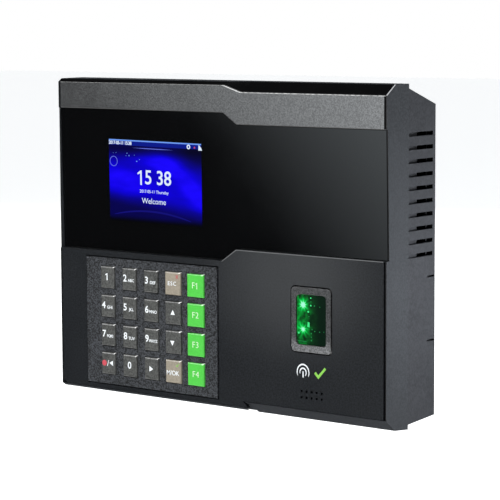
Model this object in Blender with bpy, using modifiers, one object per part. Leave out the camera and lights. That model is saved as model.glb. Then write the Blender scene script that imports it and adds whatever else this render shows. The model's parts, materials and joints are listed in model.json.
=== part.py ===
"""Wall-mounted fingerprint scanner terminal with a keypad and a colour display.

The origin is the middle of the wall bracket's back face.  +Z is up, +Y points into the
wall and +X is to the right of somebody who faces the terminal.  Lengths are metres.
"""
import math
from collections import namedtuple

import bmesh
import bpy
from mathutils import Matrix, Vector

MM = 0.001
GAP = 0.3 * MM                      # clearance between two pieces that touch

# ---- driving dimensions ---------------------------------------------------------------
FRONT_Y = -40.0 * MM                # front face of the trim strip and of the lower panel
SPLIT_Y = -22.6 * MM                # rear edge of the front housing
CASE_Y = SPLIT_Y + GAP              # front edge of the rear housing
REAR_Y = -0.4 * MM                  # rearmost face of the rear housing, just off the wall
HALF_WIDTH = 96.5 * MM              # front housing, either side of the middle
CASE_HALF_WIDTH = 95.9 * MM         # rear housing, either side of the middle
TOP_FRONT = 76.5 * MM               # housing height where its top chamfer ends
TOP_REAR = 76.4 * MM
BOTTOM_FRONT = -76.0 * MM
BOTTOM_REAR = -77.1 * MM
LEFT_RELIEF = 0.8 * MM              # the bottom is this much higher left of its chamfer
CHAMFER_Y = FRONT_Y + 6.9 * MM      # where the deep chamfers reach the top and bottom
PLATE = 2.0 * MM                    # thickness of the strip and of the lower panel
WALL = 2.3 * MM
RIM = 0.5 * MM                      # housing lip around the front plates
POCKET_HALF = HALF_WIDTH - RIM
PLATE_HALF = POCKET_HALF - GAP
TRIM_HALF = POCKET_HALF - 0.8 * MM  # the strip and the lower panel leave a wider gap
CAVITY_HALF = CASE_HALF_WIDTH - WALL
CAVITY_TOP = 72.2 * MM
CAVITY_BOTTOM = -72.3 * MM
FRONT_WALL_Y = FRONT_Y + PLATE + GAP
FRONT_WALL_BACK_Y = -34.2 * MM

# The front's three horizontal lines step between a left level and a right level.
Step = namedtuple("Step", "left right start end")
STRIP_TOP = Step(74.7 * MM, 71.7 * MM, 6.4 * MM, 16.2 * MM)
STRIP_LOW = Step(62.2 * MM, 56.9 * MM, 5.8 * MM, 13.7 * MM)
PANEL_TOP = Step(-6.2 * MM, -0.4 * MM, 4.8 * MM, 13.2 * MM)
PANEL_LOW = Step(-73.2 * MM, -70.5 * MM, 19.6 * MM, 16.8 * MM)
PANEL_CORNER = 3.2 * MM

# The display window leans back towards its lower edge.
WINDOW_RECESS = 0.9 * MM
LEFT_RIM_RECESS = 0.6 * MM          # the housing lip beside the window
WINDOW_LEAN = math.atan(1.3 / 60.0)
WINDOW_THICK = 1.5 * MM
LCD_CENTRE = (-38.0 * MM, 26.5 * MM)
LCD_SIZE = (69.2 * MM, 50.0 * MM, 2.5 * MM)     # outline of a 2.8-inch colour module
TRAY_SIZE = (75.6 * MM, 56.4 * MM, 2.5 * MM)

# ---- keypad -----------------------------------------------------------------------------
KEYPAD_CENTRE = (-38.25 * MM, -40.05 * MM)
KEYPAD_SIZE = (81.1 * MM, 61.3 * MM)
KEYPAD_FRONT_Y = FRONT_Y - 0.5 * MM
KEY_FRONT_Y = FRONT_Y - 1.2 * MM
KEY_TRAVEL = 0.8 * MM
KEY_WING = 0.6 * MM                 # each key is held by a wing on either side
KEY_WING_THICK = 0.8 * MM
KEY_COLUMNS = [-64.8 * MM, -51.1 * MM, -37.5 * MM, -23.9 * MM, -10.2 * MM]
KEY_ROWS = [-18.8 * MM, -32.75 * MM, -46.7 * MM, -60.65 * MM]
NUMBER_KEY = (8.5 * MM, 10.5 * MM)
COMMAND_KEY = (9.4 * MM, 10.8 * MM)
FUNCTION_KEY = (9.9 * MM, 10.8 * MM)
KEY_ROUNDING = 0.5 * MM
KEY_NAMES = [
    ["key_1", "key_2", "key_3", "key_esc", "key_f1"],
    ["key_4", "key_5", "key_6", "key_up", "key_f2"],
    ["key_7", "key_8", "key_9", "key_down", "key_f3"],
    ["key_power_back", "key_0", "key_right", "key_menu_ok", "key_f4"],
]
MEMBRANE_SIZE = (76.0 * MM, 57.0 * MM)
KEYPAD_BOARD_SIZE = (78.0 * MM, 59.0 * MM)

# ---- fingerprint reader -----------------------------------------------------------------
SENSOR_CENTRE = (56.05 * MM, -29.45 * MM)
SENSOR_FRAME = (21.9 * MM, 29.3 * MM)
SENSOR_WINDOW = (16.6 * MM, 23.0 * MM)
SENSOR_FRAME_FRONT_Y = FRONT_Y - 0.4 * MM
SENSOR_LED_X = 49.5 * MM
SENSOR_LED_Z = {"sensor_led_upper": -22.9 * MM, "sensor_led_lower": -36.6 * MM}

# ---- speaker ------------------------------------------------------------------------------
GRILLE_CENTRE = (56.2 * MM, -63.5 * MM)
GRILLE_PITCH = 2.8 * MM
GRILLE_HOLE = 0.65 * MM
SPEAKER_CENTRE = (56.2 * MM, -60.8 * MM)
SPEAKER_RADIUS = 10.0 * MM

# ---- rear housing -------------------------------------------------------------------------
CASE_TOP = (74.5 * MM, 66.8 * MM)           # at its front edge and at the wall
CASE_BOTTOM = (-75.2 * MM, -73.7 * MM)
BACK_WALL_Y = -3.2 * MM
VENT_COUNT = 10
VENT_TOP_Z = 54.0 * MM
VENT_PITCH = 5.99 * MM
VENT_HEIGHT = 1.9 * MM
VENT_REAR_Y = -2.5 * MM
VENT_START_DEPTH = 1.1 * MM
KNOCKOUT_Z = (-10.2 * MM, -39.2 * MM)       # slits above and below the cable break-out
KNOCKOUT_SLIT = 0.9 * MM
KNOCKOUT_DEPTH = 6.1 * MM
KNOCKOUT_WEB = 0.6 * MM             # what is left to break beside the wall
BAY_X = (-66.0 * MM, 38.0 * MM)             # opening that the cables use
BAY_Z = (-60.0 * MM, -20.0 * MM)

# ---- wall bracket -------------------------------------------------------------------------
SHEET = 1.5 * MM
BRACKET_HALF = 70.0 * MM
BRACKET_Z = (-66.0 * MM, 52.0 * MM)
BRACKET_WINDOW_X = (-62.0 * MM, 34.0 * MM)
BRACKET_WINDOW_Z = (-58.0 * MM, -22.0 * MM)
BRACKET_HOLE = 2.3 * MM
BRACKET_HOLES = [(x, z) for x in (-64.0 * MM, 64.0 * MM) for z in (-61.0 * MM, 45.0 * MM)]
HOOK_WIDTH = 12.0 * MM
HOOKS = [(x, z) for x in (-50.0 * MM, 50.0 * MM) for z in (-8.0 * MM, 30.0 * MM)]
TONGUE_HALF = 15.0 * MM
TONGUE_Z = -70.0 * MM
LOCK_SCREW_Y = -6.0 * MM

# ---- boards, fasteners and connectors -----------------------------------------------------
BOARD = 1.6 * MM
MAIN_BOARD_X = (-82.5 * MM, 38.0 * MM)
MAIN_BOARD_Z = (-50.0 * MM, 60.0 * MM)
MAIN_BOARD_Y = -27.0 * MM
BOARD_REAR_Y = MAIN_BOARD_Y + BOARD
BOARD_POSTS = [(x, z) for x in (-80.0 * MM, 34.0 * MM) for z in (-45.0 * MM, 50.0 * MM)]
CASE_POSTS = [(x, z) for x in (-87.5 * MM, 87.5 * MM) for z in (-62.0 * MM, 62.0 * MM)]
POST_RADIUS = 4.4 * MM
BOSS_RADIUS = 3.6 * MM
SEAT_Y = -16.0 * MM                 # where a case screw's head sits inside its post
SCREW_HOLE = 1.75 * MM
SOCKET_Z = -38.0 * MM               # mouths of the sockets, which face down
TAMPER_CENTRE = (20.0 * MM, 18.0 * MM)
TAMPER_TRAVEL = 1.2 * MM


# ---- scene and materials ------------------------------------------------------------------
def clear_scene():
    for item in list(bpy.data.objects):
        bpy.data.objects.remove(item, do_unlink=True)


def new_collection(name):
    collection = bpy.data.collections.new(name)
    bpy.context.scene.collection.children.link(collection)
    return collection


clear_scene()
PARTS = new_collection("fingerprint_terminal")
CUTTERS = new_collection("cutters")


def material(name, colour, roughness, metallic=0.0):
    made = bpy.data.materials.new(name)
    made.use_nodes = True
    made.diffuse_color = (*colour, 1.0)
    shader = made.node_tree.nodes["Principled BSDF"]
    shader.inputs["Base Color"].default_value = (*colour, 1.0)
    shader.inputs["Roughness"].default_value = roughness
    shader.inputs["Metallic"].default_value = metallic
    return made


CASE_PLASTIC = material("case_plastic", (0.045, 0.048, 0.055), 0.5)
SILVER_TRIM = material("silver_trim", (0.30, 0.30, 0.31), 0.35, 0.6)
BLACK_GLOSS = material("black_gloss", (0.004, 0.004, 0.004), 0.05)
PANEL_PLASTIC = material("panel_plastic", (0.022, 0.024, 0.028), 0.45)
KEYPAD_PLASTIC = material("keypad_plastic", (0.045, 0.046, 0.05), 0.6)
KEY_GREY = material("key_grey", (0.05, 0.052, 0.05), 0.3)
KEY_TAUPE = material("key_taupe", (0.42, 0.38, 0.31), 0.4)
KEY_GREEN = material("key_green", (0.16, 0.62, 0.13), 0.3)
RUBBER = material("silicone_rubber", (0.30, 0.30, 0.30), 0.8)
BOARD_GREEN = material("circuit_board", (0.02, 0.16, 0.06), 0.5)
SENSOR_SILVER = material("sensor_silver", (0.28, 0.27, 0.25), 0.4, 0.7)
OPTIC_GLASS = material("optic_glass", (0.05, 0.35, 0.15), 0.05)
LED_GREEN = material("led_green", (0.1, 0.9, 0.4), 0.3)
LCD_GLASS = material("lcd_glass", (0.02, 0.03, 0.20), 0.1)
STEEL = material("zinc_steel", (0.55, 0.55, 0.56), 0.35, 1.0)
BLACK_PLASTIC = material("black_plastic", (0.012, 0.012, 0.012), 0.5)
TERMINAL_GREEN = material("terminal_green", (0.03, 0.30, 0.10), 0.5)
BATTERY_WRAP = material("battery_wrap", (0.05, 0.16, 0.42), 0.4)


# ---- modelling helpers --------------------------------------------------------------------
def add_object(name, mesh, location=(0, 0, 0)):
    made = bpy.data.objects.new(name, mesh)
    made.location = location
    PARTS.objects.link(made)
    return made


def finish(piece, surface, smooth=False):
    piece.data.materials.clear()
    piece.data.materials.append(surface)
    if smooth:
        piece.data.shade_smooth()
        piece.data.set_sharp_from_angle(angle=math.radians(35))
    return piece


def rectangle(centre, size, shrink=0.0):
    half_u = size[0] / 2 - shrink
    half_v = size[1] / 2 - shrink
    u, v = centre
    return [(u - half_u, v - half_v), (u + half_u, v - half_v),
            (u + half_u, v + half_v), (u - half_u, v + half_v)]


def circle(centre, radius, sides=12):
    turns = [2 * math.pi * step / sides for step in range(sides)]
    return [(centre[0] + radius * math.cos(turn), centre[1] + radius * math.sin(turn))
            for turn in turns]


def round_corners(points, radius, indices=None, segments=4):
    """Swap corners of an outline for arcs; every corner unless indices are given."""
    chosen = range(len(points)) if indices is None else indices
    rounded = []
    for index, point in enumerate(points):
        if index not in chosen:
            rounded.append(point)
            continue
        corner = Vector(point)
        before = (Vector(points[index - 1]) - corner).normalized()
        after = (Vector(points[(index + 1) % len(points)]) - corner).normalized()
        half_angle = before.angle(after) / 2
        centre = corner + (before + after).normalized() * radius / math.sin(half_angle)
        start = (corner + before * radius / math.tan(half_angle) - centre).normalized()
        end = (corner + after * radius / math.tan(half_angle) - centre).normalized()
        for step in range(segments + 1):
            arm = start.slerp(end, step / segments)
            rounded.append(tuple(centre + arm * radius))
    return rounded


# Which world direction an outline's first axis, second axis and thickness take.
TURNS = {
    "X": Matrix(((0, 0, 1), (1, 0, 0), (0, 1, 0))).to_4x4(),
    "Y": Matrix(((1, 0, 0), (0, 0, -1), (0, 1, 0))).to_4x4(),
    "Z": Matrix.Identity(4),
}


def prism(name, outlines, axis, low, high, location=(0, 0, 0)):
    """Extrude a flat outline from low to high along an axis.

    Outline points are (y, z) for axis X, (x, z) for axis Y and (x, y) for axis Z.  The
    outlines after the first are holes.  The curve is drawn in millimetres, because
    Blender's fill loses outlines as small as these in metres.
    """
    curve = bpy.data.curves.new(name, "CURVE")
    curve.dimensions = "2D"
    curve.fill_mode = "BOTH"
    curve.extrude = (high - low) / 2 / MM
    for outline in outlines:
        spline = curve.splines.new("POLY")
        spline.points.add(len(outline) - 1)
        for point, (u, v) in zip(spline.points, outline):
            point.co = (u / MM, v / MM, 0, 1)
        spline.use_cyclic_u = True
    source = bpy.data.objects.new(name + "_outline", curve)
    bpy.context.scene.collection.objects.link(source)
    graph = bpy.context.evaluated_depsgraph_get()
    mesh = bpy.data.meshes.new_from_object(source.evaluated_get(graph))
    mesh.name = name
    bpy.data.objects.remove(source, do_unlink=True)
    middle = (low + high) / 2
    shift = {"X": (middle, 0, 0), "Y": (0, middle, 0), "Z": (0, 0, middle)}[axis]
    mesh.transform(Matrix.Translation(shift) @ TURNS[axis] @ Matrix.Scale(MM, 4))
    weld(mesh)
    return add_object(name, mesh, location)


def weld(mesh):
    work = bmesh.new()
    work.from_mesh(mesh)
    bmesh.ops.remove_doubles(work, verts=work.verts, dist=0.001 * MM)
    bmesh.ops.recalc_face_normals(work, faces=work.faces)
    if work.calc_volume(signed=True) < 0:
        bmesh.ops.reverse_faces(work, faces=work.faces)
    work.to_mesh(mesh)
    work.free()


def cluster(name, boxes=(), rods=(), sides=16):
    """One object of separate boxes (low, high) and rods (start, end, radius)."""
    work = bmesh.new()
    for low, high in boxes:
        middle = [(a + b) / 2 for a, b in zip(low, high)]
        size = [b - a for a, b in zip(low, high)]
        place = Matrix.Translation(middle) @ Matrix.Diagonal((*size, 1))
        bmesh.ops.create_cube(work, size=1.0, matrix=place)
    for start, end, radius in rods:
        run = Vector(end) - Vector(start)
        turn = run.to_track_quat("Z", "X").to_matrix().to_4x4()
        place = Matrix.Translation((Vector(start) + Vector(end)) / 2) @ turn
        bmesh.ops.create_cone(work, cap_ends=True, segments=sides, radius1=radius,
                              radius2=radius, depth=run.length, matrix=place)
    mesh = bpy.data.meshes.new(name)
    work.to_mesh(mesh)
    work.free()
    return add_object(name, mesh)


def box(name, low, high, surface, bevel=0.0):
    """A box with its origin at its middle, so that its edges can be bevelled."""
    middle = Vector([(a + b) / 2 for a, b in zip(low, high)])
    made = cluster(name, boxes=[(Vector(low) - middle, Vector(high) - middle)])
    made.location = middle
    if bevel:
        bevel_edges(made, bevel)
    return finish(made, surface)


def bevel_edges(piece, width, segments=2):
    edge = piece.modifiers.new("rounded_edges", "BEVEL")
    edge.width = width
    edge.segments = segments
    edge.limit_method = "ANGLE"
    edge.angle_limit = math.radians(40)
    return piece


def bevel_front(piece, width, segments=2):
    """Round only the edges around the face nearest the user."""
    mesh = piece.data
    front = min(corner.co.y for corner in mesh.vertices)
    on_front = [corner.co.y - front < 0.01 * MM for corner in mesh.vertices]
    weights = mesh.attributes.new("bevel_weight_edge", "FLOAT", "EDGE")
    for edge, weight in zip(mesh.edges, weights.data):
        weight.value = 1.0 if all(on_front[index] for index in edge.vertices) else 0.0
    rounding = piece.modifiers.new("rounded_front", "BEVEL")
    rounding.width = width
    rounding.segments = segments
    rounding.limit_method = "WEIGHT"
    return piece


def combine(piece, other, operation):
    """Cut other out of piece, or join it on; other becomes a hidden guide."""
    change = piece.modifiers.new(other.name, "BOOLEAN")
    change.operation = operation
    change.solver = "EXACT"
    change.object = other
    other.hide_render = True
    other.display_type = "WIRE"
    PARTS.objects.unlink(other)
    CUTTERS.objects.link(other)


def cut(piece, *tools):
    for tool in tools:
        combine(piece, tool, "DIFFERENCE")
    return piece


def join(piece, *tools):
    for tool in tools:
        combine(piece, tool, "UNION")
    return piece


def turned(name, profile, location, aim, surface, steps=16):
    """Turn a profile of (radius, height) about an axis that points along aim."""
    mesh = bpy.data.meshes.new(name)
    corners = [(radius, 0, height) for radius, height in profile]
    links = [(index, index + 1) for index in range(len(corners) - 1)]
    mesh.from_pydata(corners, links, [])
    made = add_object(name, mesh, location)
    made.rotation_euler = Vector(aim).to_track_quat("Z", "X").to_euler()
    lathe = made.modifiers.new("lathe", "SCREW")
    lathe.axis = "Z"
    lathe.steps = steps
    lathe.render_steps = steps
    lathe.use_merge_vertices = True
    lathe.merge_threshold = 0.00001
    lathe.use_smooth_shade = False
    return finish(made, surface)


# ---- outlines of the front ----------------------------------------------------------------
def step_line(step, half, shift):
    return [(-half, step.left + shift), (step.start, step.left + shift),
            (step.end, step.right + shift), (half, step.right + shift)]


def between(lower, upper, half, low_shift=0.0, high_shift=0.0):
    """Outline between two stepped lines, each moved up by its shift."""
    return step_line(lower, half, low_shift) + step_line(upper, half, high_shift)[::-1]


def shear_start(piece, start_x, points):
    """Slant a wedge's starting face through three points of (x, y, z)."""
    slope = Matrix([(1, y, z) for _, y, z in points]).inverted()
    factors = slope @ Vector([x for x, _, _ in points])
    for vertex in piece.data.vertices:
        if abs(vertex.co.x - start_x) < 0.01 * MM:
            vertex.co.x = factors @ Vector((1, vertex.co.y, vertex.co.z))


# ---- front housing ------------------------------------------------------------------------
def make_front_housing():
    shallow = 2.4 * MM
    side = [
        (SPLIT_Y, BOTTOM_REAR), (SPLIT_Y, TOP_REAR),
        (FRONT_Y + shallow + 0.2 * MM, TOP_FRONT - 0.2 * MM),
        (FRONT_Y + 0.2 * MM, STRIP_TOP.left + 0.1 * MM),
        (FRONT_Y + 0.2 * MM, PANEL_LOW.left - 0.1 * MM),
        (FRONT_Y + shallow, BOTTOM_FRONT + 0.4 * MM),
    ]
    housing = prism("front_housing", [side], "X", -HALF_WIDTH, HALF_WIDTH)
    cut(housing, make_chamfer("top_chamfer", 1), make_chamfer("bottom_chamfer", -1))
    relief = [(SPLIT_Y + MM, BOTTOM_REAR + LEFT_RELIEF), (SPLIT_Y + MM, BOTTOM_REAR - MM),
              (FRONT_Y - MM, BOTTOM_REAR - MM), (FRONT_Y - MM, PANEL_LOW.left + 0.7 * MM),
              (FRONT_Y + shallow, BOTTOM_FRONT + 0.4 * MM + LEFT_RELIEF)]
    cut(housing, prism("left_relief", [relief], "X", -HALF_WIDTH - MM,
                       PANEL_LOW.start + MM))
    cavity = cluster("front_cavity", boxes=[(
        (-CAVITY_HALF, FRONT_WALL_BACK_Y, CAVITY_BOTTOM),
        (CAVITY_HALF, SPLIT_Y + 2 * MM, CAVITY_TOP))])
    floor = PANEL_LOW._replace(start=PANEL_LOW.start + 2 * GAP, end=PANEL_LOW.end + 2 * GAP)
    pocket = between(floor, STRIP_TOP, POCKET_HALF, -GAP, GAP)
    plates_pocket = prism("plates_pocket", [pocket], "Y", FRONT_Y - 3 * MM, FRONT_WALL_Y)
    cut(housing, cavity, plates_pocket)
    cut(housing, *make_window_cutters())
    cut(housing, cluster("left_rim_notch", boxes=[(
        (-HALF_WIDTH - MM, FRONT_Y - MM, PANEL_TOP.left),
        (-POCKET_HALF + 0.1 * MM, FRONT_Y + LEFT_RIM_RECESS, STRIP_LOW.left))]))
    join(housing, cluster("housing_bosses", rods=[
        ((x, FRONT_WALL_BACK_Y - 0.5 * MM, z), (x, SPLIT_Y - 0.6 * MM, z), BOSS_RADIUS)
        for x, z in CASE_POSTS] + [
        ((x, FRONT_WALL_BACK_Y - 0.5 * MM, z), (x, MAIN_BOARD_Y - GAP, z), 2.3 * MM)
        for x, z in BOARD_POSTS]))
    openings = [(KEYPAD_CENTRE, (76.6 * MM, 57.6 * MM)),
                (SENSOR_CENTRE, (23.1 * MM, 30.5 * MM)),
                (GRILLE_CENTRE, (14.0 * MM, 6.0 * MM))]
    boxes = []
    for (x, z), (wide, high) in openings:
        boxes.append(((x - wide / 2, FRONT_WALL_Y - MM, z - high / 2),
                      (x + wide / 2, FRONT_WALL_BACK_Y + MM, z + high / 2)))
    cut(housing, cluster("front_openings", boxes=boxes))
    cut(housing, cluster("boss_holes", rods=[
        ((x, SPLIT_Y - 11 * MM, z), (x, SPLIT_Y + MM, z), SCREW_HOLE)
        for x, z in CASE_POSTS] + [
        ((x, MAIN_BOARD_Y - 6 * MM, z), (x, MAIN_BOARD_Y + MM, z), 1.2 * MM)
        for x, z in BOARD_POSTS], sides=12))
    return finish(housing, CASE_PLASTIC)


def make_chamfer(name, side):
    """Wedge for the deep chamfer along the right part of the top (1) or bottom (-1)."""
    line = STRIP_TOP if side > 0 else PANEL_LOW
    end_z = TOP_FRONT if side > 0 else BOTTOM_FRONT
    front = Vector((FRONT_Y + 0.2 * MM, line.right + side * 0.2 * MM))
    rear = Vector((CHAMFER_Y, end_z))
    run = rear - front
    reach = 0.35
    near = front - run * reach
    far = rear + run * reach
    start_x = min(line.start, line.end)
    rear_x = line.end + 1.5 * MM if side > 0 else line.start - 4.7 * MM
    wedge = prism(name, [[tuple(near), tuple(far), (near.x, far.y)]], "X",
                  start_x, HALF_WIDTH + MM)
    shear_start(wedge, start_x, [
        (line.start, FRONT_Y, line.left), (line.end, FRONT_Y, line.right),
        (rear_x, CHAMFER_Y, end_z)])
    return wedge


def window_frame_matrix():
    """Place of the leaning window: its local origin is on its front face, at its top."""
    top = Matrix.Translation((0, FRONT_Y + WINDOW_RECESS, STRIP_LOW.left))
    return top @ Matrix.Rotation(WINDOW_LEAN, 4, "X")


def lean(piece):
    piece.matrix_world = window_frame_matrix()
    return piece


def window_outline(half, low_shift, high_shift):
    outline = between(PANEL_TOP, STRIP_LOW, half, low_shift, high_shift)
    return [(x, z - STRIP_LOW.left) for x, z in outline]


def lcd_box(size, grow=0.0):
    """Corners, in the window's own frame, of a box centred on the display module."""
    x, z = LCD_CENTRE
    z -= STRIP_LOW.left
    half_x = size[0] / 2 + grow
    half_z = size[1] / 2 + grow
    return (x - half_x, z - half_z), (x + half_x, z + half_z)


def make_window_cutters():
    pocket = prism("window_pocket", [window_outline(POCKET_HALF, 0, 0)],
                   "Y", -3 * MM, WINDOW_THICK + GAP)
    notch = [(max(x, -POCKET_HALF), z) for x, z in window_outline(HALF_WIDTH + MM, 0, 0)]
    notch = prism("rim_notch", [notch], "Y", -3 * MM, 0.1 * MM)
    low, high = lcd_box(LCD_SIZE, 0.5 * MM)
    opening = cluster("lcd_opening", boxes=[((low[0], MM, low[1]), (high[0], 8 * MM, high[1]))])
    return lean(pocket), lean(notch), lean(opening)


# ---- front plates and display -------------------------------------------------------------
def make_top_trim_strip():
    outline = between(STRIP_LOW, STRIP_TOP, TRIM_HALF)
    strip = prism("top_trim_strip", [outline], "Y", FRONT_Y, FRONT_Y + PLATE)
    return finish(bevel_edges(strip, 0.3 * MM), SILVER_TRIM)


def make_display_window():
    outline = window_outline(PLATE_HALF, GAP, -GAP)
    window = lean(prism("display_window", [outline], "Y", 0, WINDOW_THICK))
    return finish(window, BLACK_GLOSS)


def make_lower_front_panel():
    outline = between(PANEL_LOW, PANEL_TOP, TRIM_HALF)
    outline = round_corners(outline, PANEL_CORNER, indices=[0])
    holes = [rectangle(KEYPAD_CENTRE, KEYPAD_SIZE, -2 * GAP),
             round_corners(rectangle(SENSOR_CENTRE, SENSOR_FRAME, -2 * GAP), 2.6 * MM)]
    for column in range(-2, 3):
        for row in (-0.5, 0.5):
            centre = (GRILLE_CENTRE[0] + column * GRILLE_PITCH,
                      GRILLE_CENTRE[1] + row * GRILLE_PITCH)
            holes.append(circle(centre, GRILLE_HOLE, sides=8))
    panel = prism("lower_front_panel", [outline] + holes, "Y", FRONT_Y, FRONT_Y + PLATE)
    return finish(panel, PANEL_PLASTIC)


def make_display_module():
    front = WINDOW_THICK + GAP
    back = front + LCD_SIZE[2]
    low, high = lcd_box(LCD_SIZE)
    panel = cluster("lcd_panel", boxes=[((low[0], front, low[1]), (high[0], back, high[1]))])
    finish(lean(panel), LCD_GLASS)
    low, high = lcd_box(TRAY_SIZE)
    tray_front = back + 0.7 * MM
    tray_back = tray_front + TRAY_SIZE[2]
    tray = cluster("lcd_tray", boxes=[((low[0], tray_front, low[1]),
                                       (high[0], tray_back, high[1]))])
    low, high = lcd_box(TRAY_SIZE, -8 * MM)
    relief = cluster("tray_relief", boxes=[((low[0], tray_front - MM, low[1]),
                                            (high[0], tray_back + MM, high[1]))])
    cut(lean(tray), lean(relief))
    finish(tray, BLACK_PLASTIC)


# ---- keypad -------------------------------------------------------------------------------
def key_size(column):
    if column < 3:
        return NUMBER_KEY
    return COMMAND_KEY if column == 3 else FUNCTION_KEY


def key_surface(row, column):
    if column == 4:
        return KEY_GREEN
    if column == 3 and row in (0, 3):
        return KEY_TAUPE
    return KEY_GREY


def make_keypad():
    openings = []
    for row, z in enumerate(KEY_ROWS):
        for column, x in enumerate(KEY_COLUMNS):
            openings.append(rectangle((x, z), key_size(column), -GAP))
            make_key(row, column, x, z)
    plate = prism("keypad_plate", [rectangle(KEYPAD_CENTRE, KEYPAD_SIZE)] + openings,
                  "Y", KEYPAD_FRONT_Y, FRONT_Y + PLATE)
    finish(plate, KEYPAD_PLASTIC)
    membrane_y = FRONT_Y + PLATE + GAP + KEY_WING_THICK + KEY_TRAVEL + 0.2 * MM
    sheet("keypad_membrane", KEYPAD_CENTRE, MEMBRANE_SIZE, membrane_y, 1.2 * MM, RUBBER)
    sheet("keypad_board", KEYPAD_CENTRE, KEYPAD_BOARD_SIZE, FRONT_WALL_BACK_Y + GAP,
          1.2 * MM, BOARD_GREEN)


def sheet(name, centre, size, front_y, thick, surface):
    outline = rectangle(centre, size)
    return finish(prism(name, [outline], "Y", front_y, front_y + thick), surface)


def make_key(row, column, x, z):
    """A key is T-shaped from above: a cap in front and a wing on either side behind."""
    wide, high = key_size(column)
    half = wide / 2
    wing_y = FRONT_Y + PLATE + GAP
    back_y = wing_y + KEY_WING_THICK
    outline = [
        (-half - KEY_WING, back_y), (half + KEY_WING, back_y),
        (half + KEY_WING, wing_y), (half, wing_y), (half, KEY_FRONT_Y),
        (-half, KEY_FRONT_Y), (-half, wing_y), (-half - KEY_WING, wing_y),
    ]
    outline = [(u, v - KEY_FRONT_Y) for u, v in outline]
    key = prism(KEY_NAMES[row][column], [outline], "Z", -high / 2, high / 2,
                (x, KEY_FRONT_Y, z))
    return finish(bevel_front(key, KEY_ROUNDING), key_surface(row, column))


# ---- fingerprint reader -------------------------------------------------------------------
def make_fingerprint_reader():
    outer = round_corners(rectangle(SENSOR_CENTRE, SENSOR_FRAME), 2.0 * MM)
    inner = round_corners(rectangle(SENSOR_CENTRE, SENSOR_WINDOW), 1.5 * MM, segments=3)
    frame_back = FRONT_WALL_BACK_Y - 1.8 * MM
    frame = prism("sensor_frame", [outer, inner], "Y", SENSOR_FRAME_FRONT_Y, frame_back)
    finish(bevel_edges(frame, 0.35 * MM), SENSOR_SILVER)
    glass_front = SENSOR_FRAME_FRONT_Y + 0.6 * MM
    glass_back = glass_front + 1.6 * MM
    pane = round_corners(rectangle(SENSOR_CENTRE, SENSOR_WINDOW, GAP), 1.2 * MM, segments=3)
    finish(prism("sensor_glass", [pane], "Y", glass_front, glass_back), OPTIC_GLASS)
    for name, z in SENSOR_LED_Z.items():
        depth = 1.3 * MM
        dome = [(0, depth), (0.8 * MM, depth), (1.3 * MM, depth * 0.6), (1.3 * MM, 0), (0, 0)]
        start = (SENSOR_LED_X, glass_back + GAP + depth, z)
        turned(name, dome, start, (0, -1, 0), LED_GREEN, steps=12)
    module_front = frame_back + GAP
    wide, high = 21.5 * MM, 28.9 * MM
    x, z = SENSOR_CENTRE
    module = box("sensor_module", (x - wide / 2, module_front, z - high / 2),
                 (x + wide / 2, -20 * MM, z + high / 2), BLACK_PLASTIC)
    well = cluster("sensor_well", boxes=[((x - 8 * MM, module_front - MM, z - 11 * MM),
                                          (x + 8 * MM, -28 * MM, z + 11 * MM))])
    cut(module, well)


# ---- rear housing -------------------------------------------------------------------------
def make_rear_housing():
    side = [(CASE_Y, CASE_BOTTOM[0]), (CASE_Y, CASE_TOP[0]),
            (REAR_Y, CASE_TOP[1]), (REAR_Y, CASE_BOTTOM[1])]
    case = prism("rear_housing", [side], "X", -CASE_HALF_WIDTH, CASE_HALF_WIDTH)
    inner = [(CASE_Y - MM, CAVITY_BOTTOM), (CASE_Y - MM, CAVITY_TOP),
             (BACK_WALL_Y, CASE_TOP[1] - WALL + MM), (BACK_WALL_Y, CASE_BOTTOM[1] + WALL)]
    cavity = prism("rear_cavity", [inner], "X", -CAVITY_HALF, CAVITY_HALF)
    cut(case, cavity)
    join(case, cluster("case_posts", rods=[
        ((x, CASE_Y - 0.6 * MM, z), (x, BACK_WALL_Y + MM, z), POST_RADIUS)
        for x, z in CASE_POSTS]))
    recess_y = -SHEET - GAP
    plate_recess = prism("bracket_recess", [bracket_outline(0.6 * MM)], "Y", recess_y, MM)
    hook_slots = [((x - HOOK_WIDTH / 2 - MM, BACK_WALL_Y - MM, z - 6 * MM),
                   (x + HOOK_WIDTH / 2 + MM, recess_y + MM / 2, z + 1.8 * MM))
                  for x, z in HOOKS]
    tongue_slot = ((-TONGUE_HALF - GAP, BACK_WALL_Y - MM, TONGUE_Z - GAP),
                   (TONGUE_HALF + GAP, recess_y + MM / 2, TONGUE_Z + SHEET + GAP))
    bay = ((BAY_X[0], BACK_WALL_Y - MM, BAY_Z[0]), (BAY_X[1], recess_y + MM / 2, BAY_Z[1]))
    cut(case, plate_recess, cluster("back_openings", boxes=hook_slots + [tongue_slot, bay]))
    cut(case, make_vent_cutter(), cluster("seats", rods=[
        ((x, SEAT_Y, z), (x, MM, z), 3.3 * MM) for x, z in CASE_POSTS]))
    holes = [((x, CASE_Y - 2 * MM, z), (x, SEAT_Y + MM / 2, z), SCREW_HOLE)
             for x, z in CASE_POSTS]
    x, z = TAMPER_CENTRE
    holes.append(((x, BACK_WALL_Y - MM, z), (x, MM, z), 1.7 * MM))
    holes.append(((0, LOCK_SCREW_Y, -80 * MM), (0, LOCK_SCREW_Y, -70.6 * MM), SCREW_HOLE))
    cut(case, cluster("rear_holes", rods=holes, sides=12))
    return finish(case, CASE_PLASTIC)


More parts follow.
